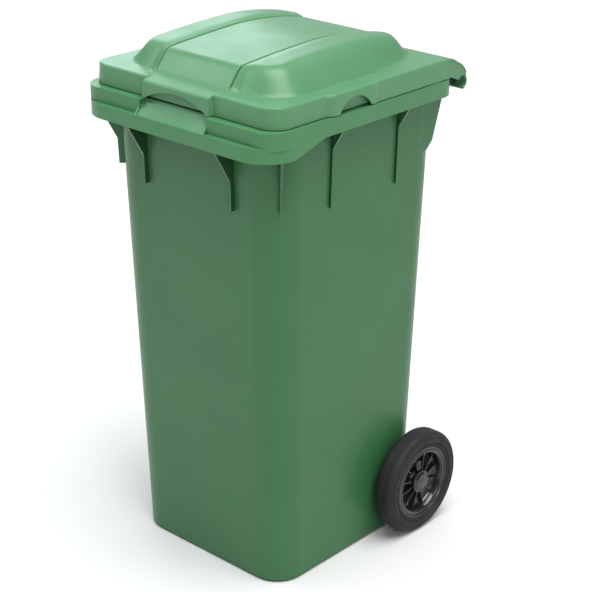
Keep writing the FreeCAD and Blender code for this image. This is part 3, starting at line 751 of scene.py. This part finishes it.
def lid_ears():
    """Webs inside the rear lip that carry the hinge pins."""
    outline = arc((HINGE_Y, HINGE_Z), EAR_R, -90, 12, 10)
    outline += [(HINGE_Y + 11, HINGE_Z + 14), (HINGE_Y - 3, HINGE_Z + 30), (HINGE_Y - 10.6, HINGE_Z + 36)]
    outline += [(HINGE_Y - 10.6, HINGE_Z + 4)] + arc((HINGE_Y, HINGE_Z), EAR_R, 160, 260, 8)
    made = []
    for name, sign in SIDES:
        for number, (low, high) in enumerate(EAR_SPANS):
            made.append(prism_between(
                "lid_ear_%s_%d" % (name, number), outline,
                lambda p: (sign * low, p[0], p[1]), lambda p: (sign * high, p[0], p[1]), GREEN_LID,
            ))
    return made


def build_lid():
    """The lid: one shell with the recess faces, end plates and ears that ride with it."""
    shell = lid_shell()
    cut_arches(shell)
    shade(shell, 38)
    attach(shell, "lid")
    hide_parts("lid")
    for piece in inner_skirts() + lid_ends() + lid_ears():
        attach(piece, "lid")


# ---- wheels -------------------------------------------------------------------------------
def tyre_profile():
    """Section of the solid tyre: flat tread, round shoulders, stepped sidewalls."""
    half = TYRE_HALF
    outer = [(half - 2.0, 72.0), (half - 0.6, 73.4), (half - 0.6, 76.0), (half - 1.8, 76.8),
             (half - 1.8, 78.4), (half - 0.3, 79.2), (half, 82.0), (half, 87.0), (half - 0.9, 87.6),
             (half - 0.9, 89.0), (half - 0.3, 89.8), (half - 1.0, 92.5), (half - 2.6, 95.4),
             (half - 5.0, 97.9), (half - 8.0, 99.4), (half - 11.5, TREAD_R)]
    inner = [(-out, radius) for out, radius in reversed(outer)]
    seam = [(2.0, TREAD_R), (1.2, TREAD_R - 0.8), (-1.2, TREAD_R - 0.8), (-2.0, TREAD_R)]
    return outer + seam + inner


def spun(point, angle, side):
    """Point (outward offset, radius, sideways) of a wheel piece, turned about the axle."""
    out, radius, across = point
    y = radius * math.cos(angle) - across * math.sin(angle)
    z = radius * math.sin(angle) + across * math.cos(angle)
    return side * (WHEEL_X + out), AXLE_Y + y, AXLE_Z + z


def rim_profile():
    """Section of the rim: two rounded rings, a deep dish, the hub tube and the barrel behind."""
    face = [(16.5, 72.0), (17.6, 71.6), (18.6, 70.6), (18.9, 69.2), (18.4, 67.8), (17.2, 67.0),
            (16.6, 66.2), (16.8, 65.2), (17.8, 64.2), (18.2, 62.8), (18.0, 61.2), (17.2, 59.8),
            (15.8, 58.6), (13.6, 57.6), (9.0, 56.2), (5.0, 54.8), (3.2, 53.6), (2.2, 51.4)]
    hub = [(2.0, 24.0), (2.6, 21.6), (4.2, 20.3), (11.2, 20.0), (12.0, 19.2), (12.0, 13.0)]
    back = [(-18.0, 13.0), (-18.0, 20.0), (-1.0, 20.0), (-1.0, 54.0), (11.0, 68.6), (-18.0, 69.0)]
    return face + hub + back + [(-18.0, 72.0)]


def join(name, pieces):
    """One object out of several that share a material."""
    whole = bmesh.new()
    for piece in pieces:
        whole.from_mesh(piece.data)
    mesh = bpy.data.meshes.new(name)
    whole.to_mesh(mesh)
    whole.free()
    mesh.materials.append(pieces[0].data.materials[0])
    obj = bpy.data.objects.new(name, mesh)
    bpy.context.scene.collection.objects.link(obj)
    for piece in pieces:
        bpy.data.objects.remove(piece)
    return obj


def soften(obj, width, angle, clamp=True):
    """Small rounded edges wherever faces meet sharply."""
    modifier = obj.modifiers.new("edges", "BEVEL")
    modifier.width = width * MM
    modifier.segments = 2
    modifier.limit_method = "ANGLE"
    modifier.angle_limit = math.radians(angle)
    modifier.use_clamp_overlap = clamp


def build_rims():
    """Both rims: turned rings and hub, ribs in front of and behind the dish, and the latch boss."""
    front_rib = [(1.4, 19.0), (10.4, 19.0), (10.6, 24.0), (9.4, 40.0), (8.4, 56.4), (1.4, 56.4)]
    back_rib = [(-16.5, 19.0), (-0.6, 19.0), (-0.6, 53.0), (9.0, 69.5), (-16.5, 69.5)]
    for name, sign in SIDES:
        pieces = [lathe("rim_turned_" + name, rim_profile(), WHEEL_X, sign, GLOSS, RIM_STEPS)]
        for number in range(SPOKES):
            angle = 2 * math.pi * (number + 0.5) / SPOKES
            for outline, half in ((front_rib, FRONT_RIB_HALF), (back_rib, BACK_RIB_HALF)):
                pieces.append(prism_between(
                    "rim_rib", outline,
                    lambda p: spun((p[0], p[1], half), angle, sign),
                    lambda p: spun((p[0], p[1], -half), angle, sign), GLOSS,
                ))
        boss = arc((BOSS_OUT, 0.0), BOSS_R, 0, 345, 23)
        pieces.append(prism_between(
            "rim_boss", boss,
            lambda p: spun((p[0], 18.0, p[1]), math.pi / 2, sign),
            lambda p: spun((p[0], 43.0, p[1]), math.pi / 2, sign), GLOSS,
        ))
        rim = join("rim_mesh_" + name, pieces)
        soften(rim, RIM_EDGE_R, 50)
        apply_modifiers(rim)
        shade(rim, 40)
        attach(rim, "wheel_" + name)
        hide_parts("wheel_rim_" + name)


def build_springs():
    """Small coils in place of the latch springs, riding with the wheels."""
    steps = 24
    sides = 8
    count = int(SPRING_TURNS * steps)
    for name, sign in SIDES:
        verts = []
        faces = []
        for i in range(count + 1):
            angle = 2 * math.pi * i / steps
            rise = SPRING_FOOT + SPRING_LENGTH * i / count
            for k in range(sides):
                around = 2 * math.pi * k / sides
                radius = SPRING_R + SPRING_WIRE_R * math.cos(around)
                verts.append((
                    sign * (WHEEL_X + SPRING_OUT) + radius * math.cos(angle),
                    AXLE_Y + radius * math.sin(angle),
                    rise + SPRING_WIRE_R * math.sin(around),
                ))
        for i in range(count):
            for k in range(sides):
                n = (k + 1) % sides
                faces.append((i * sides + k, i * sides + n, (i + 1) * sides + n, (i + 1) * sides + k))
        faces.append(tuple(range(sides - 1, -1, -1)))
        faces.append(tuple(count * sides + k for k in range(sides)))
        coil = add_object("spring_mesh_" + name, verts, faces, SPRING, 60)
        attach(coil, "wheel_" + name)
        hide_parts("latch_spring_" + name)
        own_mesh(coil)


def build_container():
    """The container is the part's own mesh, with its moulded edges rounded."""
    container = NODES["container"]
    soften(container, CONTAINER_EDGE_R, 40, clamp=False)
    container.modifiers["edges"].harden_normals = True


def build_tyres():
    """Both tyres, turned from one section."""
    for name, sign in SIDES:
        tyre = lathe("tyre_mesh_" + name, tyre_profile(), WHEEL_X, sign, TYRE)
        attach(tyre, "wheel_" + name)
        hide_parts("tyre_" + name)


# ---- stage --------------------------------------------------------------------------------
def add_camera():
    """Camera that looks at the target from an azimuth and elevation, with a slight roll."""
    azimuth = math.radians(CAMERA_AZIMUTH)
    elevation = math.radians(CAMERA_ELEVATION)
    roll = math.radians(CAMERA_ROLL)
    back = Vector((
        math.sin(azimuth) * math.cos(elevation),
        -math.cos(azimuth) * math.cos(elevation),
        math.sin(elevation),
    ))
    right = Vector((math.cos(azimuth), math.sin(azimuth), 0))
    up = back.cross(right)
    right_rolled = right * math.cos(roll) + up * math.sin(roll)
    up_rolled = up * math.cos(roll) - right * math.sin(roll)
    data = bpy.data.cameras.new("camera")
    data.lens = CAMERA_LENS
    data.sensor_width = 36.0
    data.clip_end = 50
    camera = bpy.data.objects.new("camera", data)
    place = (Vector(CAMERA_TARGET) + back * CAMERA_DISTANCE) * MM
    axes = Matrix((right_rolled, up_rolled, back)).transposed().to_4x4()
    camera.matrix_world = Matrix.Translation(place) @ axes
    bpy.context.scene.collection.objects.link(camera)
    bpy.context.scene.camera = camera


def add_area_light(name, place, target, size, energy, color):
    """Softbox that faces a target; places and sizes are in metres."""
    data = bpy.data.lights.new(name, "AREA")
    data.shape = "RECTANGLE"
    data.size, data.size_y = size
    data.energy = energy
    data.color = color
    light = bpy.data.objects.new(name, data)
    light.location = place
    light.rotation_euler = (Vector(target) - Vector(place)).to_track_quat("-Z", "Y").to_euler()
    bpy.context.scene.collection.objects.link(light)


def add_stage():
    """Pale floor, soft overhead sun, four softboxes and a dim bluish surround."""
    floor_material, tree, shader = new_material("floor", (0.62, 0.62, 0.62), 0.8, 0.05)
    vary_color(tree, shader, noise_node(tree, 3.0), (0.615, 0.615, 0.615), (0.625, 0.625, 0.625))
    corners = [(x * FLOOR_HALF, y * FLOOR_HALF, 0) for x, y in ((-1, -1), (1, -1), (1, 1), (-1, 1))]
    floor = add_object("floor", corners, [(0, 1, 2, 3)], floor_material)
    floor.location.z = -0.0002
    world = bpy.data.worlds.new("studio")
    world.use_nodes = True
    background = world.node_tree.nodes["Background"]
    background.inputs["Color"].default_value = (0.94, 0.97, 1.0, 1)
    background.inputs["Strength"].default_value = 0.32
    bpy.context.scene.world = world
    bpy.context.scene.view_settings.view_transform = "Standard"
    sun = bpy.data.lights.new("overhead", "SUN")
    sun.energy = 4.4
    sun.angle = math.radians(50)
    sun.color = (1.0, 1.0, 0.985)
    overhead = bpy.data.objects.new("overhead", sun)
    overhead.rotation_euler = Vector((0.20, -0.04, 1.0)).to_track_quat("Z", "Y").to_euler()
    bpy.context.scene.collection.objects.link(overhead)
    add_area_light("back", (-2.4, 2.7, 2.3), (0, 0, 0.9), (4.5, 2.5), 10, (0.88, 0.95, 1.0))
    add_area_light("back_left", (-2.75, 1.8, 2.2), (0, 0, 0.9), (1.6, 1.6), 20, (0.80, 0.93, 1.0))
    add_area_light("key", (2.6, -1.4, 1.9), (0, 0, 0.6), (1.2, 1.2), 22, (1.0, 1.0, 0.98))
    add_area_light("front", (-2.2, -1.7, 2.9), (0, 0, 0.9), (1.4, 1.4), 30, (0.84, 0.94, 1.0))


dress_cad_nodes()
build_container()
build_lid()
build_tyres()
build_rims()
build_springs()
add_camera()
add_stage()
